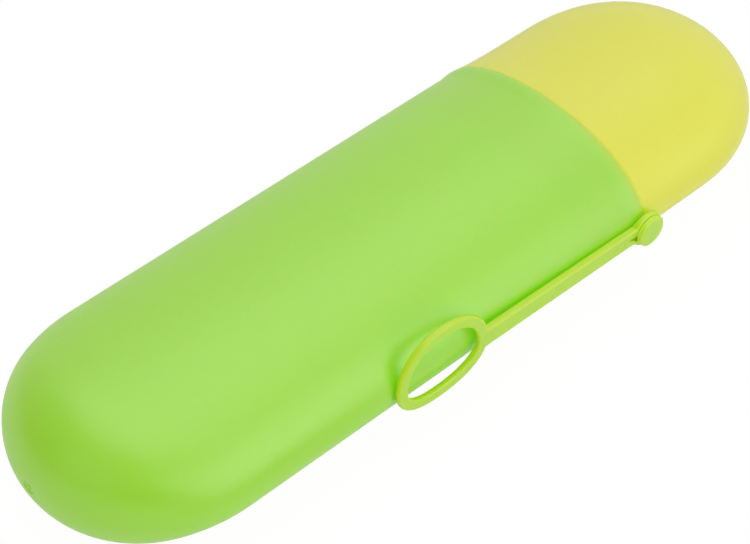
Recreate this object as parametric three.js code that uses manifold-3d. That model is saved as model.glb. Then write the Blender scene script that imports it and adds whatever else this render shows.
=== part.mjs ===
// A travel case for a toothbrush: an oval capsule in two moulded shells, and a strap that turns on a stud.
// Millimetres, +Z up. X runs along the case, from the closed end of the sleeve to the end of the cap.
// The origin is at mid-length, on the narrow flat that the case lies on.
import * as THREE from 'three';
import { mergeVertices } from 'three/addons/utils/BufferGeometryUtils.js';
import Module from 'manifold-3d';

const wasm = await Module();
wasm.setup();

// Whole case
const caseLength = 205;
const mouthX = 44.6;
const axisHeight = 16.6;
const wall = 2;
const fitGap = 0.3;
const overrun = 1;

// Sleeve, half sizes at the mouth
const sleeveHalfWidth = 31.8;
const sleeveHalfHeight = 17.05;
const sleeveDraftShare = 0.025;
const sleeveDomeLength = 32.2;
const sleeveDomeRise = 17.7;
const lipWall = 1.05;
const lipRound = 0.45;
const beadHeight = 0.3;
const beadWidth = 3.7;
const beadCrestShare = 0.55;

// Gate mark at the tip of the sleeve
const gateRadius = 2;
const gateDepth = 0.5;
const gateNubRadius = 0.7;
const gateNubHeight = 0.35;

// Cap, past the flare behind its shoulder a step smaller all round than the mouth of the sleeve
const capSideStep = 0.42;
const capTopStep = 0.3;
const capDomeLength = 33.95;
const capDomeRise = 25.95;
const capDomePower = 2.07;
const shoulderFlare = 0.5;
const flareLength = 12;
const shoulderEdge = 0.3;
const neckLength = 18;
const neckChamfer = 0.5;

// Stud, and its place from the axis of the case
const studX = 44.3;
const studDrop = 0.5;
const headRadius = 3.6;
const headThickness = 1.2;
const headCrown = 0.35;
const collarRadius = 1.95;
const pinRadius = 1.3;
const barbRadius = 1.9;
const barbTipRadius = 0.9;
const barbLength = 1.6;

// Strap
const strapThickness = 1.6;
const strapWidth = 4.5;
const strapRise = 2.1;
const strapEdge = 0.3;
const eyeletRadius = 4.35;
const eyeletHoleRadius = 2.35;
const keyholeReach = 6;
const stripNubRadius = 0.5;

// Finger ring at the end of the strap, from the centre line of its section
const ringReach = 64.1;
const ringLift = 4.1;
const ringHalfLength = 11.6;
const ringHalfHeight = 9.1;
const ringEggShare = 0.14;
const ringLeanShare = 0.045;
const ringOvalPower = 2.25;
const ringBandWidth = 2.7;
const ringSectionPower = 2.3;

// Facets
const aroundCase = 64;
const domeRings = 12;
const flareRings = 3;
const beadRings = 3;
const lipRings = 3;
const aroundPin = 28;
const crownRings = 3;
const aroundRing = 56;
const ringSides = 12;

const capHalfWidth = sleeveHalfWidth - capSideStep;
const capHalfHeight = sleeveHalfHeight - capTopStep;
const sleeveTipX = -caseLength / 2;
const capTipX = caseLength / 2;
const shoulderX = mouthX + fitGap;
const neckEndX = shoulderX - neckLength;
const rebateX = neckEndX - 2 * fitGap;

// A closed solid from a three.js geometry, without the slivers that a pole leaves
function solidOf(geometry) {
  geometry.deleteAttribute('normal');
  geometry.deleteAttribute('uv');
  const merged = mergeVertices(geometry);
  const index = merged.index.array;
  const triVerts = [];
  for (let i = 0; i < index.length; i += 3) {
    const [a, b, c] = index.slice(i, i + 3);
    if (a !== b && b !== c && c !== a) triVerts.push(a, b, c);
  }
  return new wasm.Manifold(new wasm.Mesh({
    numProp: 3,
    vertProperties: Float32Array.from(merged.attributes.position.array),
    triVerts: Uint32Array.from(triVerts),
  }));
}

function meshOf(name, solid, material) {
  const shape = solid.getMesh();
  const geometry = new THREE.BufferGeometry();
  geometry.setAttribute('position', new THREE.BufferAttribute(shape.vertProperties, shape.numProp));
  geometry.setIndex(new THREE.BufferAttribute(shape.triVerts, 1));
  geometry.computeVertexNormals();
  const mesh = new THREE.Mesh(geometry, material);
  mesh.name = name;
  return mesh;
}

// Share of the full section that a dome has at a distance from its tip
function domeShare(distance, length, power) {
  const left = Math.max(length - distance, 0) / length;
  return (1 - left ** power) ** (1 / power);
}

// A solid with an oval section at each station, closed on the axis at both ends.
// A unit lathe gives the rings, and each ring takes the half width and half height of its station.
function ovalSolid(stations) {
  const profile = stations.map(({ x, width }) => new THREE.Vector2(width > 0 ? 1 : 0, x));
  const geometry = new THREE.LatheGeometry(profile, aroundCase);
  const position = geometry.attributes.position;
  for (let i = 0; i < position.count; i += 1) {
    const { x, width, height } = stations[i % stations.length];
    position.setXYZ(i, x, -position.getX(i) * width, position.getZ(i) * height);
  }
  return solidOf(geometry);
}

const onAxis = (x) => ({ x, width: 0, height: 0 });

// The section at x, grown or shrunk by the same amount all round
function offset({ x, width, height }, amount) {
  return { x, width: width + amount, height: height + amount };
}

// Barrel of the sleeve, a little narrower towards its closed end
function sleeveBarrel(x) {
  const draft = 1 - sleeveDraftShare * (mouthX - x) / (mouthX - sleeveTipX);
  return { x, width: sleeveHalfWidth * draft, height: sleeveHalfHeight * draft };
}

// Barrel of the cap, with the flare that meets the sleeve
function capBarrel(x) {
  const left = Math.max(1 - (x - shoulderX) / flareLength, 0);
  return offset({ x, width: capHalfWidth, height: capHalfHeight }, shoulderFlare * left * left);
}

// Stations of a dome from its tip to its full section; towards is 1 where the tip is at the low end
function domeStations(tipX, towards, barrel, length, rise, power, shrink) {
  const stations = [onAxis(tipX)];
  for (let ring = 1; ring <= domeRings; ring += 1) {
    const distance = length * (1 - Math.cos(Math.PI / 2 * ring / domeRings));
    const full = offset(barrel(tipX + towards * distance), -shrink);
    stations.push({
      x: full.x,
      width: full.width * domeShare(distance, length, power),
      height: full.height * domeShare(distance, rise, power),
    });
  }
  return stations;
}

// How far the beaded lip stands out of the barrel, at a distance from the mouth
function lipOffset(distance) {
  const climb = Math.min((beadWidth - distance) / (beadWidth * beadCrestShare), 1);
  const bead = beadHeight * (1 - Math.cos(Math.PI * climb)) / 2;
  const round = Math.max(lipRound - distance, 0);
  return bead - (lipRound - Math.sqrt(lipRound * lipRound - round * round));
}

function lipStations() {
  const distances = [];
  for (let ring = 0; ring < beadRings; ring += 1) {
    distances.push(beadWidth * (1 - beadCrestShare * ring / beadRings));
  }
  distances.push(beadWidth * (1 - beadCrestShare));
  for (let ring = 0; ring <= lipRings; ring += 1) {
    distances.push(lipRound * (1 - Math.sin(Math.PI / 2 * ring / lipRings)));
  }
  return distances.map((distance) => offset(sleeveBarrel(mouthX - distance), lipOffset(distance)));
}

// Everything under the plane that the case lies on
function underTheFlat() {
  const box = new THREE.BoxGeometry(2 * caseLength, 4 * sleeveHalfWidth, 2 * sleeveHalfHeight);
  box.translate(0, 0, -axisHeight - sleeveHalfHeight);
  return solidOf(box);
}

// A round bar along X, from x with the length given
function barAlongX(radius, x, length) {
  const bar = new THREE.CylinderGeometry(radius, radius, length, aroundPin);
  bar.rotateZ(Math.PI / 2);
  bar.translate(x + length / 2, 0, 0);
  return solidOf(bar);
}

// A round bar through the near wall, where the pin of the stud goes
function pinBore() {
  const length = sleeveHalfWidth;
  const bore = new THREE.CylinderGeometry(pinRadius + fitGap, pinRadius + fitGap, length, aroundPin);
  bore.translate(studX, -sleeveHalfWidth, -studDrop);
  return solidOf(bore);
}

// The mouth is open from the pin outwards, so the cap leaves with its stud
function pinNotch() {
  const reach = Math.max(mouthX - studX, 0) + overrun;
  const slot = new THREE.BoxGeometry(reach, sleeveHalfWidth, 2 * (pinRadius + fitGap));
  slot.translate(studX + reach / 2, -sleeveHalfWidth, -studDrop);
  return pinBore().add(solidOf(slot));
}

function bodySleeve() {
  const outer = ovalSolid([
    ...domeStations(sleeveTipX, 1, sleeveBarrel, sleeveDomeLength, sleeveDomeRise, 2, 0),
    ...lipStations(),
    onAxis(mouthX),
  ]);
  const innerTipX = sleeveTipX + wall;
  const cavity = ovalSolid([
    ...domeStations(innerTipX, 1, sleeveBarrel, sleeveDomeLength - wall, sleeveDomeRise - wall, 2, wall),
    offset(sleeveBarrel(rebateX), -wall),
    offset(sleeveBarrel(rebateX), -lipWall),
    offset(sleeveBarrel(mouthX + overrun), -lipWall),
    onAxis(mouthX + overrun),
  ]);
  const gate = barAlongX(gateRadius, sleeveTipX - overrun, overrun + gateDepth);
  const nub = barAlongX(gateNubRadius, sleeveTipX + gateDepth - gateNubHeight, gateNubHeight + wall / 2);
  return outer.subtract(gate).add(nub).subtract(cavity).subtract(underTheFlat()).subtract(pinNotch());
}

// The neck follows the rebate inside the mouth, one clearance smaller
function neckSection(x) {
  return offset(sleeveBarrel(x), -lipWall - fitGap);
}

function endCap() {
  const flare = [];
  for (let ring = 1; ring <= flareRings; ring += 1) {
    flare.push(capBarrel(shoulderX + shoulderEdge + (flareLength - shoulderEdge) * ring / flareRings));
  }
  const outer = ovalSolid([
    onAxis(neckEndX),
    offset(neckSection(neckEndX), -neckChamfer),
    neckSection(neckEndX + neckChamfer),
    neckSection(shoulderX),
    offset(capBarrel(shoulderX), -shoulderEdge),
    capBarrel(shoulderX + shoulderEdge),
    ...flare,
    ...domeStations(capTipX, -1, capBarrel, capDomeLength, capDomeRise, capDomePower, 0).reverse(),
  ]);
  const core = (x) => ({ x, width: capHalfWidth, height: capHalfHeight });
  const innerTipX = capTipX - wall;
  const innerDome = domeStations(
    innerTipX, -1, core, capDomeLength - wall, capDomeRise - wall, capDomePower, wall,
  );
  const cavity = ovalSolid([
    onAxis(neckEndX - overrun),
    offset(core(neckEndX - overrun), -wall),
    ...innerDome.reverse(),
  ]);
  return outer.subtract(cavity).subtract(underTheFlat()).subtract(pinBore());
}

// Distances outwards from the middle plane of the case, along the stud
const strapBack = sleeveHalfWidth + beadHeight + fitGap;
const strapFront = strapBack + strapThickness;
const headBack = strapFront + fitGap;

// The barb seats inside the cap where its edge comes nearest to the curved wall
const barbEdgeShare = (studDrop + barbRadius) / (capHalfHeight - wall);
const barbSeat = (capHalfWidth - wall) * Math.sqrt(1 - barbEdgeShare ** 2) - fitGap;

// The stud is turned about its own axis: barb, pin, collar and head
function stud() {
  const profile = [
    new THREE.Vector2(0, barbSeat - barbLength),
    new THREE.Vector2(barbTipRadius, barbSeat - barbLength),
    new THREE.Vector2(barbRadius, barbSeat),
    new THREE.Vector2(pinRadius, barbSeat),
    new THREE.Vector2(pinRadius, strapBack),
    new THREE.Vector2(collarRadius, strapBack),
    new THREE.Vector2(collarRadius, headBack),
    new THREE.Vector2(headRadius, headBack),
  ];
  for (let ring = 0; ring < crownRings; ring += 1) {
    const angle = Math.PI / 2 * ring / crownRings;
    const rim = headBack + headThickness - headCrown;
    profile.push(new THREE.Vector2(headRadius * Math.cos(angle / 2), rim + headCrown * Math.sin(angle)));
  }
  profile.push(new THREE.Vector2(0, headBack + headThickness));
  const geometry = new THREE.LatheGeometry(profile, aroundPin);
  geometry.rotateZ(Math.PI);
  return solidOf(geometry);
}

// Stands an extrusion on edge beside the case, along the rise of the strap, with its near end at y
function standUp(geometry, y) {
  geometry.rotateX(Math.PI / 2);
  geometry.rotateY(THREE.MathUtils.degToRad(strapRise));
  geometry.translate(0, y, 0);
  return solidOf(geometry);
}

// A flat moulding in the plane of the strap, from its back to its front, with its edges broken
function strapPlate(shape) {
  const plate = new THREE.ExtrudeGeometry(shape, {
    depth: strapThickness - 2 * strapEdge,
    bevelEnabled: true,
    bevelThickness: strapEdge,
    bevelSize: strapEdge,
    bevelOffset: -strapEdge,
    bevelSegments: 1,
    curveSegments: aroundPin,
  });
  return standUp(plate, -strapBack - strapEdge);
}

// A point of a unit oval at a turn; a power over 2 gives it fuller corners
function ovalPoint(turn, power) {
  const full = (value) => Math.sign(value) * Math.abs(value) ** (2 / power);
  return new THREE.Vector2(full(Math.cos(turn)), full(Math.sin(turn)));
}

// Centre line of the finger ring in its own plane, longer along the strap below than above
function ringLine(turn) {
  const { x, y } = ovalPoint(turn, ringOvalPower);
  return new THREE.Vector2(
    ringHalfLength * x * (1 - ringEggShare * y),
    ringHalfHeight * y * (1 - ringLeanShare * x),
  );
}

// The finger ring: a lathe ring whose sections are moved onto the centre line
function fingerRing() {
  const section = [];
  for (let side = 0; side <= ringSides; side += 1) {
    const { x, y } = ovalPoint(2 * Math.PI * (side % ringSides) / ringSides, ringSectionPower);
    section.push(new THREE.Vector2(1 + x / 2, y / 2));
  }
  const geometry = new THREE.LatheGeometry(section, aroundRing);
  const position = geometry.attributes.position;
  const step = 2 * Math.PI / aroundRing;
  for (let i = 0; i < position.count; i += 1) {
    const turn = step * (Math.floor(i / section.length) % aroundRing);
    const { x, y } = section[i % section.length];
    const centre = ringLine(turn);
    const along = ringLine(turn + step).sub(ringLine(turn - step)).normalize();
    const out = (x - 1) * ringBandWidth;
    position.setXYZ(
      i,
      -ringReach + centre.x + along.y * out,
      -strapBack - strapThickness / 2 - y * strapThickness,
      ringLift + centre.y - along.x * out,
    );
  }
  return solidOf(geometry);
}

// The strap's own frame has its origin on the axis of the stud, with the strap running towards -X
function strap() {
  const barLength = ringReach - ringHalfLength;
  const bar = new THREE.Shape([
    new THREE.Vector2(0, strapWidth / 2),
    new THREE.Vector2(-barLength, strapWidth / 2),
    new THREE.Vector2(-barLength, -strapWidth / 2),
    new THREE.Vector2(0, -strapWidth / 2),
  ]);
  const eyelet = new THREE.Shape().absarc(0, 0, eyeletRadius, 0, 2 * Math.PI);
  const nub = new THREE.Shape().absarc(eyeletRadius, 0, stripNubRadius, 0, 2 * Math.PI);
  const keyhole = new THREE.Shape();
  const start = Math.PI - Math.acos(eyeletHoleRadius / keyholeReach);
  keyhole.moveTo(-keyholeReach, 0);
  keyhole.lineTo(eyeletHoleRadius * Math.cos(start), -eyeletHoleRadius * Math.sin(start));
  keyhole.absarc(0, 0, eyeletHoleRadius, -start, start);
  keyhole.closePath();
  const hole = new THREE.ExtrudeGeometry(keyhole, {
    depth: strapThickness + 2 * overrun,
    bevelEnabled: false,
    curveSegments: aroundPin,
  });
  const plates = strapPlate(bar).add(strapPlate(eyelet)).add(strapPlate(nub));
  return plates.add(fingerRing()).subtract(standUp(hole, overrun - strapBack));
}

const greenPlastic = new THREE.MeshStandardMaterial({ color: '#a4dd62', roughness: 0.5, metalness: 0 });
const yellowPlastic = new THREE.MeshStandardMaterial({ color: '#e2df6a', roughness: 0.5, metalness: 0 });
const limePlastic = new THREE.MeshStandardMaterial({ color: '#b9de62', roughness: 0.45, metalness: 0 });

const aboutAxis = new THREE.Group();
aboutAxis.position.z = axisHeight;
aboutAxis.add(meshOf('body_sleeve', bodySleeve(), greenPlastic));
aboutAxis.add(meshOf('end_cap', endCap(), yellowPlastic));

const onStud = new THREE.Group();
onStud.position.set(studX, 0, -studDrop);
onStud.add(meshOf('stud', stud(), limePlastic));
onStud.add(meshOf('strap', strap(), limePlastic));
aboutAxis.add(onStud);

const toothbrushCase = new THREE.Group();
toothbrushCase.add(aboutAxis);

export default toothbrushCase;
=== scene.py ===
import math

import bmesh
import bpy
from mathutils import Euler, Matrix, Vector


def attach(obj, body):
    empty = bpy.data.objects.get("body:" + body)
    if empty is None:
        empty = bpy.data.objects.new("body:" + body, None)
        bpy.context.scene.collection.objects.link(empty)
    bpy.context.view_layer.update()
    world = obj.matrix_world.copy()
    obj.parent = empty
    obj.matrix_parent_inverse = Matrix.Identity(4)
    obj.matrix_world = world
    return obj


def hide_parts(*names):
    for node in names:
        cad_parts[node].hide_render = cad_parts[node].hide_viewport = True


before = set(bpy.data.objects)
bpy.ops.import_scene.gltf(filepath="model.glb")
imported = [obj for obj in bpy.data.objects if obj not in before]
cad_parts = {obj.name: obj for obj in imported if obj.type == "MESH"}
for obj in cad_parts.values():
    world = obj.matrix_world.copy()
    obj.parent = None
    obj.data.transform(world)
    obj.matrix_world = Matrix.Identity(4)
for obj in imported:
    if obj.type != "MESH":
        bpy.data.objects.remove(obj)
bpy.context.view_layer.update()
mm = 0.001


# Camera and studio
# The camera looks down on the case from between its strap side and the closed end of the sleeve.
# The case lies on a white table inside a white tent, so light comes from all round and shadows are faint.
axis_height = 16.6 * mm
camera_turn = math.radians(-42.708)
camera_tilt = math.radians(44)
camera_lens = 97.453
camera_across = -6.2373 * mm
camera_raised = -6.2328 * mm
camera_away = 454.954 * mm

camera = bpy.data.objects.new("camera", bpy.data.cameras.new("camera"))
camera.data.sensor_width = 36
camera.data.lens = camera_lens
camera.rotation_euler = (camera_tilt, 0, camera_turn)
look = Euler(camera.rotation_euler).to_matrix()
camera.location = Vector((0, 0, axis_height)) + look @ Vector((camera_across, camera_raised, camera_away))
bpy.context.scene.collection.objects.link(camera)
bpy.context.scene.camera = camera
bpy.context.scene.view_settings.view_transform = "Standard"


def studio_lamp(name, place, size, power):
    """A square soft lamp that faces the middle of the case."""
    lamp = bpy.data.objects.new(name, bpy.data.lights.new(name, "AREA"))
    lamp.data.shape = "SQUARE"
    lamp.data.size = size
    lamp.data.energy = power
    lamp.location = place
    lamp.rotation_euler = (Vector(place) - Vector((0, 0, axis_height))).to_track_quat("Z", "Y").to_euler()
    bpy.context.scene.collection.objects.link(lamp)


studio_lamp("tent_top", place=(0.1, 0.15, 1.1), size=1.2, power=3.5)
studio_lamp("tent_front", place=(0.2, -1.0, 0.45), size=1.0, power=3.08)
studio_lamp("tent_left", place=(-1.0, -0.1, 0.45), size=0.8, power=0.75)


def shader_node(tree, kind, values=None, **settings):
    """A new node with its settings, and with values for its sockets by name or by number."""
    node = tree.nodes.new("ShaderNode" + kind)
    for setting, value in settings.items():
        setattr(node, setting, value)
    for socket, value in (values or {}).items():
        node.inputs[socket].default_value = value
    return node


# The tent looks plain white to the camera; what the plastic mirrors of it brightens towards the cap.
world = bpy.data.worlds.new("white_tent")
bpy.context.scene.world = world
world.use_nodes = True
tent = world.node_tree
sky = tent.nodes["Background"]
sky.inputs["Color"].default_value = (1, 1, 1, 1)
tent_ray = shader_node(tent, "LightPath")
tent_way = shader_node(tent, "TexCoord")
tent_slope = shader_node(tent, "VectorMath", {1: (0.8, 0.02, 0)}, operation="DOT_PRODUCT")
tent_mirrored = shader_node(
    tent, "MapRange", {"From Min": -0.6, "From Max": 0.5, "To Min": 0.1, "To Max": 1.1}
)
tent_light = shader_node(tent, "Mix", {"A": 0.45})
tent_seen = shader_node(tent, "Mix", {"B": 1.0})
tent.links.new(tent_way.outputs["Generated"], tent_slope.inputs[0])
tent.links.new(tent_slope.outputs["Value"], tent_mirrored.inputs["Value"])
tent.links.new(tent_mirrored.outputs["Result"], tent_light.inputs["B"])
tent.links.new(tent_ray.outputs["Is Glossy Ray"], tent_light.inputs["Factor"])
tent.links.new(tent_light.outputs["Result"], tent_seen.inputs["A"])
tent.links.new(tent_ray.outputs["Is Camera Ray"], tent_seen.inputs["Factor"])
tent.links.new(tent_seen.outputs["Result"], sky.inputs["Strength"])

table_half = 3
under_case = Matrix.Translation((0, 0, -0.05 * mm))
table_top = bmesh.new()
bmesh.ops.create_grid(table_top, x_segments=1, y_segments=1, size=table_half, matrix=under_case)
table_mesh = bpy.data.meshes.new("table_top")
table_top.to_mesh(table_mesh)
table_top.free()
table = bpy.data.objects.new("table_top", table_mesh)
bpy.context.scene.collection.objects.link(table)

# The table takes faint shadows, but the camera sees nearly all of it as the white of the tent.
table_white = bpy.data.materials.new("table_white")
table_white.use_nodes = True
paper = table_white.node_tree
paper.nodes.clear()
paper_matt = shader_node(paper, "BsdfDiffuse", {"Color": (0.9, 0.9, 0.9, 1)})
paper_glow = shader_node(paper, "Emission", {"Color": (1, 1, 1, 1), "Strength": 1.02})
paper_ray = shader_node(paper, "LightPath")
paper_seen = shader_node(paper, "Mix", {"A": 0, "B": 0.95})
paper_share = shader_node(paper, "Math", {1: 0.5}, operation="MULTIPLY_ADD")
paper_mix = shader_node(paper, "MixShader")
paper_out = shader_node(paper, "OutputMaterial")
paper.links.new(paper_ray.outputs["Is Camera Ray"], paper_seen.inputs["Factor"])
paper.links.new(paper_ray.outputs["Is Glossy Ray"], paper_share.inputs[0])
paper.links.new(paper_seen.outputs["Result"], paper_share.inputs[2])
paper.links.new(paper_share.outputs[0], paper_mix.inputs["Fac"])
paper.links.new(paper_matt.outputs["BSDF"], paper_mix.inputs[1])
paper.links.new(paper_glow.outputs["Emission"], paper_mix.inputs[2])
paper.links.new(paper_mix.outputs["Shader"], paper_out.inputs["Surface"])
table_mesh.materials.append(table_white)


# Body sleeve
# The long closed half of the case: an oval tube with a domed end, moulded in one shot of apple-green plastic.
# Its mouth has a low rounded bead outside and a thin step inside for the neck of the cap.
# The plastic was let in at the tip, where the cut gate sits in a small round recess.
around_case = 160
wall = 2
fit_gap = 0.3
mouth_x = 44.6
sleeve_tip = -102.5
sleeve_half_width = 31.8
sleeve_half_height = 17.05
sleeve_taper = 0.025
sleeve_dome_length = 32.2
sleeve_dome_rise = 17.7
sleeve_dome_power = 2
bead_start = 5.2
bead_run = 3.6
bead_height = 0.3
rim_start = 1.5
rim_run = 1.6
rim_drop = 0.28
rim_break = 0.12
lip_wall = 1.05
neck_length = 18


def sleeve_barrel(x, shrink=0):
    """Half width and half height of the sleeve at x, a little narrower towards its closed end."""
    draft = 1 - sleeve_taper * (mouth_x - x) / (mouth_x - sleeve_tip)
    return sleeve_half_width * draft - shrink, sleeve_half_height * draft - shrink


def dome(barrel, tip, towards, length, rise, power, shrink=0, first=1, rings=40):
    """Stations from near the tip of a dome to its full section."""
    stations = []
    for ring in range(first, rings + 1):
        distance = length * (1 - math.cos(math.pi / 2 * ring / rings))
        x = tip + towards * distance
        width, height = barrel(x, shrink)
        for_width = (1 - max(1 - distance / length, 0) ** power) ** (1 / power)
        for_height = (1 - max(1 - distance / rise, 0) ** power) ** (1 / power)
        stations.append((x, width * for_width, height * for_height))
    return stations


def lip(distance):
    """How far the beaded lip stands out of the barrel, at a distance from the mouth."""
    bead = bead_height / 2 * (1 - math.cos(math.pi * max(min((bead_start - distance) / bead_run, 1), 0)))
    fall = max(rim_start - distance, 0) / rim_run
    return bead - rim_drop * (1 - math.sqrt(1 - fall ** 2))


def oval_shell(stations):
    """A closed skin through oval rings, each a station of (x, half width, half height) in millimetres."""
    skin = bmesh.new()
    x, width, height = stations[0]
    upright = Matrix.Translation((x * mm, 0, 0)) @ Matrix.Rotation(math.pi / 2, 4, "Y")
    bmesh.ops.create_circle(
        skin, cap_ends=True, cap_tris=True, segments=around_case, radius=mm, matrix=upright
    )
    rim = [edge for edge in skin.edges if edge.is_boundary]
    bmesh.ops.scale(skin, verts=skin.verts, vec=(1, width, height))
    for next_x, next_width, next_height in stations[1:]:
        grown = bmesh.ops.extrude_edge_only(skin, edges=rim)["geom"]
        ring = [part for part in grown if isinstance(part, bmesh.types.BMVert)]
        rim = [part for part in grown if isinstance(part, bmesh.types.BMEdge) and part.is_boundary]
        bmesh.ops.scale(skin, verts=ring, vec=(1, next_width / width, next_height / height))
        bmesh.ops.translate(skin, verts=ring, vec=((next_x - x) * mm, 0, 0))
        x, width, height = next_x, next_width, next_height
    bmesh.ops.contextual_create(skin, geom=rim)
    bmesh.ops.translate(skin, verts=skin.verts, vec=(0, 0, axis_height))
    return skin


def flat_underside(skin):
    """Cuts the shell level with the table and closes the cut with one narrow flat."""
    everything = list(skin.verts) + list(skin.edges) + list(skin.faces)
    cut = bmesh.ops.bisect_plane(skin, geom=everything, plane_no=(0, 0, 1), clear_inner=True)["geom_cut"]
    border = [part for part in cut if isinstance(part, bmesh.types.BMEdge)]
    for edge in border:
        edge.smooth = False
    bmesh.ops.contextual_create(skin, geom=border)


def moulded_piece(name, skin, material, sharp=35):
    """A scene object from a skin, smooth but for edges sharper than the angle in degrees."""
    bmesh.ops.recalc_face_normals(skin, faces=skin.faces)
    for face in skin.faces:
        face.smooth = True
    mesh = bpy.data.meshes.new(name)
    skin.to_mesh(mesh)
    skin.free()
    mesh.materials.append(material)
    mesh.set_sharp_from_angle(angle=math.radians(sharp))
    piece = bpy.data.objects.new(name, mesh)
    bpy.context.scene.collection.objects.link(piece)
    return piece


def cut_away(piece, shape, sharp=35):
    """Takes a closed shape out of a piece for good."""
    mesh = bpy.data.meshes.new("cutter")
    bmesh.ops.recalc_face_normals(shape, faces=shape.faces)
    shape.to_mesh(mesh)
    shape.free()
    cutter = bpy.data.objects.new("cutter", mesh)
    bpy.context.scene.collection.objects.link(cutter)
    cut = piece.modifiers.new("cut", "BOOLEAN")
    cut.operation = "DIFFERENCE"
    cut.solver = "EXACT"
    cut.object = cutter
    shown = piece.evaluated_get(bpy.context.evaluated_depsgraph_get())
    old = piece.data
    piece.data = bpy.data.meshes.new_from_object(shown)
    piece.modifiers.clear()
    piece.data.name = piece.name
    bpy.data.objects.remove(cutter)
    bpy.data.meshes.remove(old)
    bpy.data.meshes.remove(mesh)
    piece.data.set_sharp_from_angle(angle=math.radians(sharp))


def satin_skin():
    """Fine grain, slow drifts of tint and a slightly uneven gloss, as a moulded satin plastic has."""
    group = bpy.data.node_groups.new("satin_skin", "ShaderNodeTree")
    for name, kind in (("Place", "Vector"), ("Tint", "Color"), ("Deep Tint", "Color"), ("Gloss", "Float")):
        group.interface.new_socket(name=name, in_out="INPUT", socket_type="NodeSocket" + kind)
    for name, kind in (("Color", "Color"), ("Roughness", "Float"), ("Grain", "Float")):
        group.interface.new_socket(name=name, in_out="OUTPUT", socket_type="NodeSocket" + kind)
    given = group.nodes.new("NodeGroupInput")
    result = group.nodes.new("NodeGroupOutput")
    drift = shader_node(group, "TexNoise", {"Scale": 22, "Detail": 2})
    cloud = shader_node(group, "TexNoise", {"Scale": 160, "Detail": 3})
    grain = shader_node(group, "TexNoise", {"Scale": 3200, "Detail": 2})
    tint = shader_node(group, "Mix", data_type="RGBA")
    uneven = shader_node(group, "Math", {1: 0.08}, operation="MULTIPLY_ADD")
    for noise in (drift, cloud, grain):
        group.links.new(given.outputs["Place"], noise.inputs["Vector"])
    group.links.new(drift.outputs["Fac"], tint.inputs["Factor"])
    group.links.new(given.outputs["Tint"], tint.inputs["A"])
    group.links.new(given.outputs["Deep Tint"], tint.inputs["B"])
    group.links.new(tint.outputs["Result"], result.inputs["Color"])
    group.links.new(cloud.outputs["Fac"], uneven.inputs[0])
    group.links.new(given.outputs["Gloss"], uneven.inputs[2])
    group.links.new(uneven.outputs[0], result.inputs["Roughness"])
    group.links.new(grain.outputs["Fac"], result.inputs["Grain"])
    return group


skin_group = satin_skin()


def satin_plastic(name, tint, deep_tint, grain_depth, clear_reach, clear_tint):
    """A moulded plastic with a satin skin; light goes a little way into it."""
    material = bpy.data.materials.new(name)
    material.use_nodes = True
    tree = material.node_tree
    plastic = tree.nodes["Principled BSDF"]
    plastic.inputs["Subsurface Weight"].default_value = 1.0
    plastic.inputs["Subsurface Radius"].default_value = clear_tint
    plastic.inputs["Subsurface Scale"].default_value = clear_reach
    plastic.inputs["Specular IOR Level"].default_value = 1.0
    place = shader_node(tree, "TexCoord")
    turn = shader_node(tree, "Mapping")
    skin = shader_node(tree, "Group", node_tree=skin_group, name="skin")
    skin.inputs["Tint"].default_value = (*tint, 1)
    skin.inputs["Deep Tint"].default_value = (*deep_tint, 1)
    skin.inputs["Gloss"].default_value = 0.33
    bump = shader_node(tree, "Bump", {"Distance": grain_depth, "Strength": 0.5})
    tree.links.new(place.outputs["Object"], turn.inputs["Vector"])
    tree.links.new(turn.outputs["Vector"], skin.inputs["Place"])
    tree.links.new(skin.outputs["Color"], plastic.inputs["Base Color"])
    tree.links.new(skin.outputs["Roughness"], plastic.inputs["Roughness"])
    tree.links.new(skin.outputs["Grain"], bump.inputs["Height"])
    tree.links.new(bump.outputs["Normal"], plastic.inputs["Normal"])
    return material


apple_green = satin_plastic(
    "apple_green", tint=(0.455, 0.885, 0.04), deep_tint=(0.44, 0.87, 0.034),
    grain_depth=0.02 * mm, clear_reach=1.2 * mm, clear_tint=(0.6, 1, 0.3),
)

# The lip is thin over the yellow neck; a painted highlight makes it paler and yellower towards the mouth.
apple_tree = apple_green.node_tree
apple_place = shader_node(apple_tree, "TexCoord")
along_lip = shader_node(apple_tree, "VectorMath", {1: (1, -0.035, 0)}, operation="DOT_PRODUCT")
lip_highlight_share = shader_node(apple_tree, "MapRange", interpolation_type="SMOOTHSTEP")
lip_highlight_share.inputs["From Min"].default_value = (mouth_x - 2) * mm
lip_highlight_share.inputs["From Max"].default_value = (mouth_x + 0.3) * mm
lip_painted_highlight = shader_node(apple_tree, "Mix", {"B": (0.575, 0.87, 0.06, 1)}, data_type="RGBA")
apple_tree.links.new(apple_place.outputs["Object"], along_lip.inputs[0])
apple_tree.links.new(along_lip.outputs["Value"], lip_highlight_share.inputs["Value"])
apple_tree.links.new(lip_highlight_share.outputs["Result"], lip_painted_highlight.inputs["Factor"])
apple_tree.links.new(apple_tree.nodes["skin"].outputs["Color"], lip_painted_highlight.inputs["A"])
apple_tree.links.new(lip_painted_highlight.outputs["Result"], apple_tree.nodes["Principled BSDF"].inputs["Base Color"])

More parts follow.
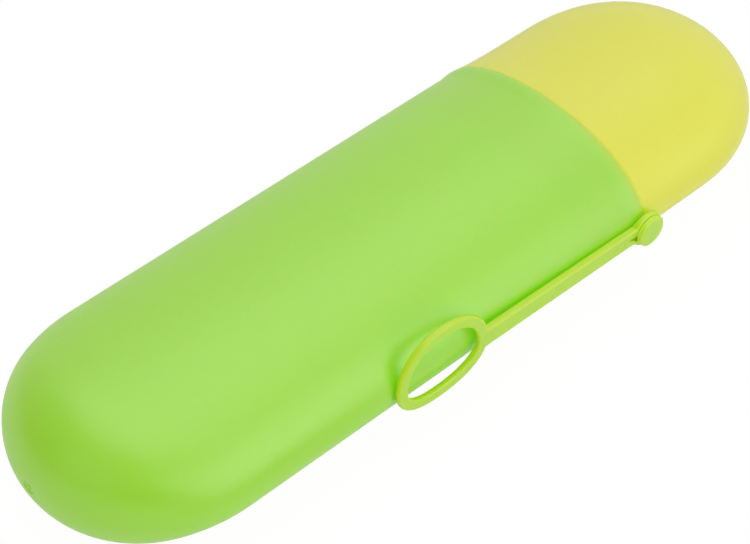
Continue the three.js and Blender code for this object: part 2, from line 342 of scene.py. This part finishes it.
# The gate recess; its profile is pairs of depth and radius, from the middle out to the rim.
gate_reach = 0.5
gate_radius = 1.9
gate_off_centre = 0.8
gate_profile = (
    (0.15, 0.3), (0.16, 0.42), (0.2, 0.52), (0.32, 0.6), (0.42, 0.7), (0.46, 0.85), (0.46, 1.05),
    (0.44, 1.25), (0.38, 1.42), (0.29, 1.55), (0.2, 1.63), (0.15, 1.72), (0.142, 1.85),
)
gate_recess = [(sleeve_tip + depth, radius, radius) for depth, radius in gate_profile]
sleeve_dome = dome(
    sleeve_barrel, sleeve_tip, 1, sleeve_dome_length, sleeve_dome_rise, sleeve_dome_power, first=4
)
sleeve_tube = [(x, *sleeve_barrel(x)) for x in range(-64, 37, 5)]
lip_steps = (
    6, 5.2, 4.8, 4.4, 4, 3.6, 3.2, 2.8, 2.4, 2, 1.65, 1.4, 1.1, 0.85, 0.6, 0.42, 0.28, 0.17, 0.09, 0.03, 0
)
beaded_lip = []
for distance in lip_steps:
    beaded_lip.append((mouth_x - distance, *sleeve_barrel(mouth_x - distance, -lip(distance))))
rebate_x = mouth_x + fit_gap - neck_length - 2 * fit_gap
mouth_inside = [
    (mouth_x, *sleeve_barrel(mouth_x, lip_wall + rim_break)),
    (mouth_x - rim_break, *sleeve_barrel(mouth_x, lip_wall)),
    (mouth_x - 1, *sleeve_barrel(mouth_x - 1, lip_wall)),
    (rebate_x + 0.3, *sleeve_barrel(rebate_x, lip_wall)),
    (rebate_x, *sleeve_barrel(rebate_x, lip_wall)),
    (rebate_x, *sleeve_barrel(rebate_x, wall)),
    (rebate_x - 1, *sleeve_barrel(rebate_x - 1, wall)),
]
sleeve_inner_dome = dome(
    sleeve_barrel, sleeve_tip + wall, 1, sleeve_dome_length - wall, sleeve_dome_rise - wall,
    sleeve_dome_power, wall, rings=24,
)
sleeve_skin = oval_shell(
    gate_recess + sleeve_dome + sleeve_tube + beaded_lip + mouth_inside + sleeve_inner_dome[::-1]
)
gate = [vert for vert in sleeve_skin.verts if vert.co.x < (sleeve_tip + gate_reach) * mm]
gate = [vert for vert in gate if Vector((vert.co.y, vert.co.z - axis_height)).length < gate_radius * mm]
bmesh.ops.translate(sleeve_skin, verts=gate, vec=(0, gate_off_centre * mm, 0))
flat_underside(sleeve_skin)
body_sleeve = moulded_piece("green_sleeve", sleeve_skin, apple_green)

stud_x = 44.3
stud_z = 16.1
pin_radius = 1.3
cut_half = 15 * mm


def pin_cutter(open_towards_mouth):
    """The room for the stud's pin through the near wall; it may run out through the mouth."""
    shape = bmesh.new()
    place = Matrix.Translation((stud_x * mm, -sleeve_half_width * mm, stud_z * mm))
    along_pin = Matrix.Rotation(math.pi / 2, 4, "X")
    room = (pin_radius + fit_gap) * mm
    if not open_towards_mouth:
        bmesh.ops.create_cone(
            shape, cap_ends=True, segments=32, radius1=room, radius2=room, depth=2 * cut_half,
            matrix=place @ along_pin,
        )
        return shape
    bmesh.ops.create_circle(shape, cap_ends=True, segments=32, radius=room, matrix=place @ along_pin)
    ahead = [vert for vert in shape.verts if vert.co.x > stud_x * mm + room / 9]
    for vert in ahead:
        vert.co.x = (mouth_x + 1) * mm
    bmesh.ops.translate(shape, verts=shape.verts, vec=(0, cut_half, 0))
    grown = bmesh.ops.extrude_face_region(shape, geom=shape.faces[:])["geom"]
    far_end = [part for part in grown if isinstance(part, bmesh.types.BMVert)]
    bmesh.ops.translate(shape, verts=far_end, vec=(0, -2 * cut_half, 0))
    return shape


cut_away(body_sleeve, pin_cutter(open_towards_mouth=True))
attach(body_sleeve, "case")
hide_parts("body_sleeve")


# End cap
# The short half that pulls off, moulded in lemon-yellow plastic of the same wall.
# Its shoulder meets the mouth of the sleeve flush, and its thinner neck plugs into the sleeve behind it.
cap_tip = 102.5
cap_dome_length = 33.95
cap_dome_rise = 25.95
cap_dome_power = 2.07
cap_narrower = 0.42
cap_flatter = 0.3
cap_half_width = sleeve_half_width - cap_narrower
cap_half_height = sleeve_half_height - cap_flatter
cap_flare = 0.5
flare_length = 12
seat_gap = 0.26
seat_lean = 0.0068
shoulder_x = mouth_x + seat_gap
shoulder_round = 0.08
neck_face_x = mouth_x + 0.02
neck_end = mouth_x + fit_gap - neck_length
neck_room = lip_wall + fit_gap


def cap_barrel(x, shrink=0):
    """Half width and half height of the cap at x, with the slight flare that meets the sleeve."""
    flare = cap_flare * max(1 - (x - shoulder_x) / flare_length, 0) ** 2 - shrink
    return cap_half_width + flare, cap_half_height + flare


def cap_core(x, shrink=0):
    """The same without the flare, for the inside of the cap."""
    return cap_half_width - shrink, cap_half_height - shrink


lemon_yellow = satin_plastic(
    "lemon_yellow", tint=(0.975, 0.93, 0.062), deep_tint=(0.96, 0.915, 0.054),
    grain_depth=0.02 * mm, clear_reach=1.2 * mm, clear_tint=(1, 1, 0.3),
)

# A weak painted glow lightens the shade in the joint, in place of light that comes through the plastic into
# it. On the strap's side, where the joint stands open, the glow is weaker and a painted shade makes it deeper
# and greener.
lemon_tree = lemon_yellow.node_tree
lemon_plastic = lemon_tree.nodes["Principled BSDF"]
lemon_plastic.inputs["Emission Strength"].default_value = 1.0
lemon_place = shader_node(lemon_tree, "TexCoord")
along_seat = shader_node(lemon_tree, "VectorMath", {1: (1, seat_lean, 0)}, operation="DOT_PRODUCT")
in_joint = shader_node(lemon_tree, "Math", operation="COMPARE")
in_joint.inputs[1].default_value = (mouth_x + shoulder_x) / 2 * mm
in_joint.inputs[2].default_value = ((shoulder_x - mouth_x) / 2 + 0.03) * mm
near_side = shader_node(lemon_tree, "VectorMath", {1: (0, -1, 0)}, operation="DOT_PRODUCT")
open_side = shader_node(lemon_tree, "MapRange", interpolation_type="SMOOTHSTEP")
open_side.inputs["From Min"].default_value = -12 * mm
open_side.inputs["From Max"].default_value = 16 * mm
joint_light = shader_node(
    lemon_tree, "Mix", {"A": (0.105, 0.12, 0.02, 1), "B": (0.06, 0.1, 0, 1)}, data_type="RGBA"
)
joint_painted_glow = shader_node(lemon_tree, "Mix", {"A": (0, 0, 0, 1)}, data_type="RGBA")
joint_shade_share = shader_node(lemon_tree, "Math", operation="MULTIPLY")
joint_painted_shade = shader_node(lemon_tree, "Mix", {"B": (0.77, 0.87, 0, 1)}, data_type="RGBA")
lemon_tree.links.new(lemon_place.outputs["Object"], along_seat.inputs[0])
lemon_tree.links.new(along_seat.outputs["Value"], in_joint.inputs[0])
lemon_tree.links.new(lemon_place.outputs["Object"], near_side.inputs[0])
lemon_tree.links.new(near_side.outputs["Value"], open_side.inputs["Value"])
lemon_tree.links.new(open_side.outputs["Result"], joint_light.inputs["Factor"])
lemon_tree.links.new(joint_light.outputs["Result"], joint_painted_glow.inputs["B"])
lemon_tree.links.new(in_joint.outputs[0], joint_painted_glow.inputs["Factor"])
lemon_tree.links.new(joint_painted_glow.outputs["Result"], lemon_plastic.inputs["Emission Color"])
lemon_tree.links.new(in_joint.outputs[0], joint_shade_share.inputs[0])
lemon_tree.links.new(open_side.outputs["Result"], joint_shade_share.inputs[1])
lemon_tree.links.new(joint_shade_share.outputs[0], joint_painted_shade.inputs["Factor"])
lemon_tree.links.new(lemon_tree.nodes["skin"].outputs["Color"], joint_painted_shade.inputs["A"])
lemon_tree.links.new(joint_painted_shade.outputs["Result"], lemon_plastic.inputs["Base Color"])

cap_dome = dome(cap_barrel, cap_tip, -1, cap_dome_length, cap_dome_rise, cap_dome_power)
cap_tube = [(x, *cap_barrel(x)) for x in (66, 64, 62, 60, 58.4, 56.9, 55, 53, 51, 49, 47.4, 46.2, 45.5)]
cap_shoulder = []
for turn in (0, 22.5, 45, 67.5, 90):
    back = shoulder_round * (1 - math.sin(math.radians(turn)))
    down = shoulder_round * (1 - math.cos(math.radians(turn)))
    cap_shoulder.append((shoulder_x + back, *cap_barrel(shoulder_x + shoulder_round, down)))
cap_neck = [
    (shoulder_x, *cap_barrel(shoulder_x, 0.14)),
    (neck_face_x + 0.01, *cap_barrel(shoulder_x, 0.18)),
    (neck_face_x, *cap_barrel(shoulder_x, 0.22)),
    (neck_face_x, *sleeve_barrel(mouth_x, neck_room - 0.1)),
    (neck_face_x - 0.1, *sleeve_barrel(mouth_x, neck_room)),
    (mouth_x - 1, *sleeve_barrel(mouth_x - 1, neck_room)),
    (neck_end + 1.5, *sleeve_barrel(neck_end + 1.5, neck_room)),
    (neck_end + 0.6, *sleeve_barrel(neck_end + 0.6, neck_room)),
    (neck_end + 0.5, *sleeve_barrel(neck_end + 0.5, neck_room + 0.03)),
    (neck_end + 0.05, *sleeve_barrel(neck_end, neck_room + 0.45)),
    (neck_end, *sleeve_barrel(neck_end, neck_room + 0.5)),
    (neck_end, *cap_core(neck_end, wall - 0.1)),
    (neck_end + 0.1, *cap_core(neck_end, wall)),
    (neck_end + 1, *cap_core(neck_end, wall)),
    (shoulder_x, *cap_core(shoulder_x, wall)),
]
cap_inner_dome = dome(
    cap_core, cap_tip - wall, -1, cap_dome_length - wall, cap_dome_rise - wall, cap_dome_power, wall, rings=24
)
cap_skin = oval_shell(cap_dome + cap_tube + cap_shoulder + cap_neck + cap_inner_dome[::-1])
for vert in cap_skin.verts:
    if (shoulder_x - 0.01) * mm < vert.co.x < (shoulder_x + shoulder_round + 0.01) * mm:
        vert.co.x -= seat_lean * vert.co.y
flat_underside(cap_skin)
end_cap = moulded_piece("yellow_cap", cap_skin, lemon_yellow)
cut_away(end_cap, pin_cutter(open_towards_mouth=False))
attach(end_cap, "cap")
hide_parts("end_cap")


# Stud
# A push-in rivet turned out of the strap's own light green plastic: head, collar, pin and barb.
# Its pin goes through the eyelet and the wall of the cap, and the barb holds it from inside.
strap_back = 32.4
head_back = 33.88
head_front = 35.3
head_radius = 3.75
head_shift = Vector((0.12, 0, -0.1))
collar_radius = 2.45
barb_radius = 1.85
barb_length = 1.6
stud_below_axis = 0.5
barb_room = 1.9
inner_half_width = cap_half_width - wall
inner_half_height = cap_half_height - wall
barb_height_share = (stud_below_axis + barb_room) / inner_half_height
cap_inside = inner_half_width * math.sqrt(1 - barb_height_share ** 2) - fit_gap

soft_lime = satin_plastic(
    "soft_lime", tint=(0.575, 0.86, 0.016), deep_tint=(0.56, 0.85, 0.01),
    grain_depth=0.015 * mm, clear_reach=1.5 * mm, clear_tint=(1, 1, 0.3),
)

# Painted shade: side walls and rounded edges get a yellower, more saturated colour than the flat faces. A
# weak painted glow on the back face lightens the shade between strap and case, in place of light through the
# strap.
lime_tree = soft_lime.node_tree
lime_plastic = lime_tree.nodes["Principled BSDF"]
lime_plastic.inputs["Emission Strength"].default_value = 1.0
lime_facing = shader_node(lime_tree, "TexCoord")
lime_axes = shader_node(lime_tree, "SeparateXYZ")
either_face = shader_node(lime_tree, "Math", operation="ABSOLUTE")
face_share = shader_node(
    lime_tree, "MapRange", {"From Min": 0.55, "From Max": 1.0}, interpolation_type="SMOOTHSTEP"
)
side_painted_shading = shader_node(lime_tree, "Mix", {"A": (0.6, 0.83, 0, 1)}, name="side_painted_shading", data_type="RGBA")
painted_glow_mask = shader_node(lime_tree, "Math", {1: 0.7}, name="painted_glow_mask", operation="GREATER_THAN")
painted_glow_colour = shader_node(lime_tree, "Mix", name="painted_glow_colour", data_type="RGBA")
painted_glow_colour.inputs["A"].default_value = (0, 0, 0, 1)
painted_glow_colour.inputs["B"].default_value = (0.05, 0.16, 0, 1)
lime_tree.links.new(lime_facing.outputs["Normal"], lime_axes.inputs[0])
lime_tree.links.new(lime_axes.outputs["Y"], either_face.inputs[0])
lime_tree.links.new(either_face.outputs[0], face_share.inputs["Value"])
lime_tree.links.new(face_share.outputs["Result"], side_painted_shading.inputs["Factor"])
lime_tree.links.new(lime_tree.nodes["skin"].outputs["Color"], side_painted_shading.inputs["B"])
lime_tree.links.new(side_painted_shading.outputs["Result"], lime_plastic.inputs["Base Color"])
lime_tree.links.new(lime_axes.outputs["Y"], painted_glow_mask.inputs[0])
lime_tree.links.new(painted_glow_mask.outputs[0], painted_glow_colour.inputs["Factor"])
lime_tree.links.new(painted_glow_colour.outputs["Result"], lime_plastic.inputs["Emission Color"])

# The stud is the same plastic, a little paler. Painted light brightens its side walls, and only its collar
# has the painted glow, which lightens the shade in the groove under the head.
stud_lime = soft_lime.copy()
stud_lime.name = "stud_lime"
stud_tree = stud_lime.node_tree
stud_tree.nodes["skin"].inputs["Tint"].default_value = (0.58, 0.885, 0.05, 1)
stud_tree.nodes["skin"].inputs["Deep Tint"].default_value = (0.56, 0.875, 0.04, 1)
stud_tree.nodes["side_painted_shading"].inputs["A"].default_value = (0.66, 0.93, 0.03, 1)
stud_tree.nodes["painted_glow_colour"].inputs["B"].default_value = (0.11, 0.17, 0, 1)
stud_place = shader_node(stud_tree, "TexCoord")
stud_axes = shader_node(stud_tree, "SeparateXYZ")
on_collar = stud_tree.nodes["painted_glow_mask"]
on_collar.operation = "COMPARE"
on_collar.inputs[1].default_value = -(head_back + strap_back + 0.35) / 2 * mm
on_collar.inputs[2].default_value = (head_back - strap_back + 0.35) / 2 * mm
stud_tree.links.new(stud_place.outputs["Object"], stud_axes.inputs[0])
stud_tree.links.new(stud_axes.outputs["Y"], on_collar.inputs[0])


def witness_line():
    """A thin ridge along a circle in the side view, as an ejector pin or a flow front leaves."""
    group = bpy.data.node_groups.new("witness_line", "ShaderNodeTree")
    for name, kind in (("Place", "Vector"), ("Centre", "Vector"), ("Radius", "Float"), ("Width", "Float")):
        group.interface.new_socket(name=name, in_out="INPUT", socket_type="NodeSocket" + kind)
    group.interface.new_socket(name="Height", in_out="OUTPUT", socket_type="NodeSocketFloat")
    given = group.nodes.new("NodeGroupInput")
    result = group.nodes.new("NodeGroupOutput")
    away = shader_node(group, "VectorMath", operation="SUBTRACT")
    side_view = shader_node(group, "VectorMath", {1: (1, 0, 1)}, operation="MULTIPLY")
    distance = shader_node(group, "VectorMath", operation="LENGTH")
    from_line = shader_node(group, "Math", operation="SUBTRACT")
    either_side = shader_node(group, "Math", operation="ABSOLUTE")
    ridge = shader_node(group, "MapRange", {"To Min": 1, "To Max": 0}, interpolation_type="SMOOTHSTEP")
    group.links.new(given.outputs["Place"], away.inputs[0])
    group.links.new(given.outputs["Centre"], away.inputs[1])
    group.links.new(away.outputs[0], side_view.inputs[0])
    group.links.new(side_view.outputs[0], distance.inputs[0])
    group.links.new(distance.outputs["Value"], from_line.inputs[0])
    group.links.new(given.outputs["Radius"], from_line.inputs[1])
    group.links.new(from_line.outputs[0], either_side.inputs[0])
    group.links.new(either_side.outputs[0], ridge.inputs["Value"])
    group.links.new(given.outputs["Width"], ridge.inputs["From Max"])
    group.links.new(ridge.outputs["Result"], result.inputs["Height"])
    return group


witness_group = witness_line()


def marked_plastic(material, centre, radius, width, depth):
    """Adds a circular witness line to a plastic, over the bumps it has."""
    tree = material.node_tree
    plastic = tree.nodes["Principled BSDF"]
    place = shader_node(tree, "TexCoord")
    line = shader_node(tree, "Group", node_tree=witness_group)
    line.inputs["Centre"].default_value = centre
    line.inputs["Radius"].default_value = radius
    line.inputs["Width"].default_value = width
    raised = shader_node(tree, "Bump", {"Distance": depth})
    below = plastic.inputs["Normal"].links[0].from_socket
    tree.links.new(place.outputs["Object"], line.inputs["Place"])
    tree.links.new(line.outputs["Height"], raised.inputs["Height"])
    tree.links.new(below, raised.inputs["Normal"])
    tree.links.new(raised.outputs["Normal"], plastic.inputs["Normal"])


flow_centre = ((stud_x - 4.6) * mm, 0, (stud_z + 0.6) * mm)
marked_plastic(stud_lime, flow_centre, radius=5.2 * mm, width=0.35 * mm, depth=0.12 * mm)

stud_profile = [
    (0, cap_inside - barb_length),
    (0.75, cap_inside - barb_length),
    (0.9, cap_inside - barb_length + 0.1),
    (barb_radius, cap_inside - 0.1),
    (barb_radius - 0.03, cap_inside),
    (pin_radius, cap_inside),
    (pin_radius, strap_back),
    (collar_radius, strap_back),
    (collar_radius, head_back),
    (head_radius - 0.25, head_back),
    (head_radius - 0.1, head_back + 0.06),
    (head_radius - 0.03, head_back + 0.16),
    (head_radius, head_back + 0.3),
    (head_radius, head_front - 0.44),
    (head_radius - 0.02, head_front - 0.36),
    (head_radius - 0.08, head_front - 0.29),
    (head_radius - 0.23, head_front - 0.22),
    (3.2, head_front - 0.15),
    (2.8, head_front - 0.09),
    (2.1, head_front - 0.045),
    (1.4, head_front - 0.02),
    (0.7, head_front - 0.005),
    (0, head_front),
]
stud_skin = bmesh.new()
turned = [stud_skin.verts.new((radius * mm, -out * mm, 0)) for radius, out in stud_profile]
for pair in zip(turned, turned[1:]):
    stud_skin.edges.new(pair)
bmesh.ops.spin(
    stud_skin, geom=stud_skin.verts[:] + stud_skin.edges[:], cent=(0, 0, 0), axis=(0, 1, 0),
    angle=2 * math.pi, steps=64, use_merge=True,
)
bmesh.ops.remove_doubles(stud_skin, verts=stud_skin.verts, dist=0.001 * mm)
for vert in stud_skin.verts:
    if vert.co.y < -(head_back + 0.2) * mm:
        vert.co += head_shift * mm
bmesh.ops.translate(stud_skin, verts=stud_skin.verts, vec=(stud_x * mm, 0, stud_z * mm))
stud = moulded_piece("strap_stud", stud_skin, stud_lime)
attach(stud, "cap")
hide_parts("stud")


# Strap
# One soft moulding: an eyelet with a keyhole, a flat band and an oval ring for a finger.
# The keyhole lets the eyelet stretch over the head of the stud, on which the strap then turns.
band_rise = math.radians(2.1)
band_half = 2.25
band_half_at_ring = 2.42
band_half_below = 2.1
band_end = -8.0
eyelet_radius = 4.4
eyelet_nub = 0.92
nub_turn = 0.1
around_eyelet = 96
hole_radius = 2.6
ring_reach = 64.1
ring_lift = 4.1
ring_half_length = 11.6
ring_half_height = 9.1
ring_corner = 2.25
ring_wire_half = 1.35
strap_front = 33.83
strap_inner = 31.98


def beside_case(along, up):
    """A point of the band, which climbs slightly from the stud to the ring."""
    x = along * math.cos(band_rise) + up * math.sin(band_rise)
    z = up * math.cos(band_rise) - along * math.sin(band_rise)
    return Vector(((stud_x + x) * mm, -strap_back * mm, (stud_z + z) * mm))


def ring_line(turn):
    """Centre line of the finger ring, an egg with full corners, leaning a little."""
    across = math.copysign(abs(math.cos(turn)) ** (2 / ring_corner), math.cos(turn))
    up = math.copysign(abs(math.sin(turn)) ** (2 / ring_corner), math.sin(turn))
    return Vector((ring_half_length * across * (1 - 0.14 * up), ring_half_height * up * (1 - 0.045 * across)))


def ring_edge(turn, out):
    """A point at a distance from the ring's centre line, outwards."""
    along = (ring_line(turn + 0.02) - ring_line(turn - 0.02)).normalized()
    middle = ring_line(turn) + Vector((along.y, -along.x)) * out
    x = stud_x - ring_reach + middle.x
    z = stud_z + ring_lift + middle.y
    return Vector((x * mm, -strap_back * mm, z * mm))


def turn_at_band(up, low, high):
    """The turn at which the outside of the ring meets an edge of the band."""
    for _ in range(40):
        middle = (low + high) / 2
        point = ring_edge(middle, ring_wire_half)
        x = point.x / mm - stud_x
        z = point.z / mm - stud_z
        if z * math.cos(band_rise) + x * math.sin(band_rise) < up:
            low = middle
        else:
            high = middle
    return (low + high) / 2


def closed_line(plate, points):
    """A loop of edges through the points; each edge starts at its own point."""
    verts = [plate.verts.new(point) for point in points]
    return [plate.edges.new(pair) for pair in zip(verts, verts[1:] + verts[:1])]


across_band = 6
around_ring = 122
plate = bmesh.new()
lower_turn = turn_at_band(-band_half_at_ring, -1.2, 0.5)
upper_turn = turn_at_band(band_half_at_ring, -0.8, 1.2)
turns = [lower_turn + (upper_turn - lower_turn) * step / across_band for step in range(across_band)]
rest = 2 * math.pi - (upper_turn - lower_turn)
turns += [upper_turn + rest * step / around_ring for step in range(around_ring)]
ring_outside = closed_line(plate, [ring_edge(turn, ring_wire_half) for turn in turns])
ring_inside = closed_line(plate, [ring_edge(turn, -ring_wire_half) for turn in turns])
bmesh.ops.bridge_loops(plate, edges=ring_outside + ring_inside)

band_width = band_half + band_half_below
outer = [(band_end, band_half - band_width * step / across_band) for step in range(across_band)]
outer += [(x, -band_half_below) for x in (band_end, -6.4, -5.4, -4.8)]
upper_corner = math.pi - math.asin(band_half / eyelet_radius)
lower_corner = 0.19 - upper_corner
for step in range(around_eyelet + 1):
    angle = (upper_corner - lower_corner) * step / around_eyelet + lower_corner
    radius = eyelet_radius + eyelet_nub * math.exp(-((angle / nub_turn) ** 2))
    outer.append((radius * math.cos(angle), radius * math.sin(angle)))
outer += [(x, band_half) for x in (-4.6, -5.3, -6.5)]
keyhole_tip = Vector((-6.15, 0.22))
upper_side = Vector((-2.58, 0.2)) - keyhole_tip
lower_side = Vector((-3.46, -1.69)) - keyhole_tip
inner = [keyhole_tip + upper_side * share for share in (0.3, 0.2, 0.1, 0)]
inner += [keyhole_tip + lower_side * share for share in (0.17, 0.34, 0.5, 0.7, 1)]
inner.append(Vector((-2.6, -2.05)))
hole_start = math.atan2(-1.92, -1.75)
hole_end = math.atan2(0.2, -2.58)
for step in range(around_eyelet + 1):
    angle = hole_start + (hole_end - hole_start) * step / around_eyelet
    inner.append((hole_radius * math.cos(angle), hole_radius * math.sin(angle)))
inner += [keyhole_tip + upper_side * share for share in (0.85, 0.65, 0.45)]
eyelet_outside = closed_line(plate, [beside_case(*point) for point in outer])
hole_place = {edge.verts[0]: beside_case(*point) for edge, point in zip(eyelet_outside, inner)}
bmesh.ops.bridge_loops(plate, edges=ring_outside[:across_band] + eyelet_outside[:across_band])
grown = bmesh.ops.extrude_edge_only(plate, edges=eyelet_outside)["geom"]
keyhole_floor = []
for vert in [part for part in grown if isinstance(part, bmesh.types.BMVert)]:
    starts = [edge.other_vert(vert) for edge in vert.link_edges]
    vert.co = [hole_place[start] for start in starts if start in hole_place][0]
    if vert.co.x < (stud_x - 2.2) * mm and vert.co.z < (stud_z - 0.1) * mm:
        keyhole_floor.append(vert)

grown = bmesh.ops.extrude_face_region(plate, geom=plate.faces[:], use_keep_orig=True)["geom"]
front = {part for part in grown if isinstance(part, bmesh.types.BMVert)}
for vert in plate.verts:
    along = vert.co.x / mm - stud_x
    at_eyelet = min(max((along + 3.6) / 1.4, 0), 1)
    at_ring = min(max((-along - 44) / 8, 0), 1)
    if vert in front:
        vert.co.y = -(strap_front + 0.1 * at_ring) * mm
    else:
        vert.co.y = -(strap_inner + 0.42 * at_eyelet + 0.22 * at_ring) * mm
bmesh.ops.translate(plate, verts=keyhole_floor, vec=(0, 0, 0.7 * mm))
bmesh.ops.recalc_face_normals(plate, faces=plate.faces)

stud_middle = Vector((stud_x, stud_z)) * mm
ring_middle = Vector((stud_x - ring_reach, stud_z + ring_lift)) * mm
ring_crown = Vector((-0.6, 0.8))


def share_of_round(place):
    """How much of the full round an edge of the strap gets, by where its middle lies."""
    on_back = place.y > -33 * mm
    from_stud = (place.xz - stud_middle).length
    if place.x < (stud_x - ring_reach + 13.3) * mm:
        from_middle = place.xz - ring_middle
        outside = Vector((from_middle.x / ring_half_length, from_middle.y / ring_half_height)).length > mm
        if on_back:
            return 0.93
        return 0.48 + 0.32 * max(from_middle.normalized().dot(ring_crown), 0) if outside else 0.4
    in_slot = from_stud < 6.3 * mm and abs(place.z - (stud_z + 0.1) * mm) < 1.2 * mm
    if in_slot or from_stud < 4 * mm:
        return 0.1
    if from_stud < 5.4 * mm:
        return 0.6 if on_back else 0.55
    return 0.12 if on_back else 0.28


edge_round = plate.edges.layers.float.new("bevel_weight_edge")
for edge in plate.edges:
    one_end, other_end = [vert.co for vert in edge.verts]
    level = abs(one_end.y - other_end.y) <= 0.3 * mm
    if level and len(edge.link_faces) == 2 and edge.calc_face_angle() > math.radians(80):
        edge[edge_round] = share_of_round((one_end + other_end) / 2)

# The soft ring bends inwards and down to the sleeve. How far is a guess: the bend follows the camera's line
# of sight, so it changes nothing in the outline of the ring, only its shadow.
ring_bend = look @ Vector((0, 0, -1.5 * mm))
for vert in plate.verts:
    vert.co += ring_bend * min(max((stud_x - 52 - vert.co.x / mm) / 25, 0), 1) ** 1.2

for along in (-9.3, -51.3):
    marked_plastic(soft_lime, beside_case(along, -0.2), radius=1.7 * mm, width=0.25 * mm, depth=0.11 * mm)
strap = moulded_piece("wrist_strap", plate, soft_lime, sharp=50)
rounded = strap.modifiers.new("rounded_edges", "BEVEL")
rounded.limit_method = "WEIGHT"
rounded.width = 0.98 * mm
rounded.segments = 6
rounded.profile = 0.5
rounded.use_clamp_overlap = False
true_flats = strap.modifiers.new("true_flats", "WEIGHTED_NORMAL")
true_flats.keep_sharp = True
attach(strap, "strap")
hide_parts("strap")
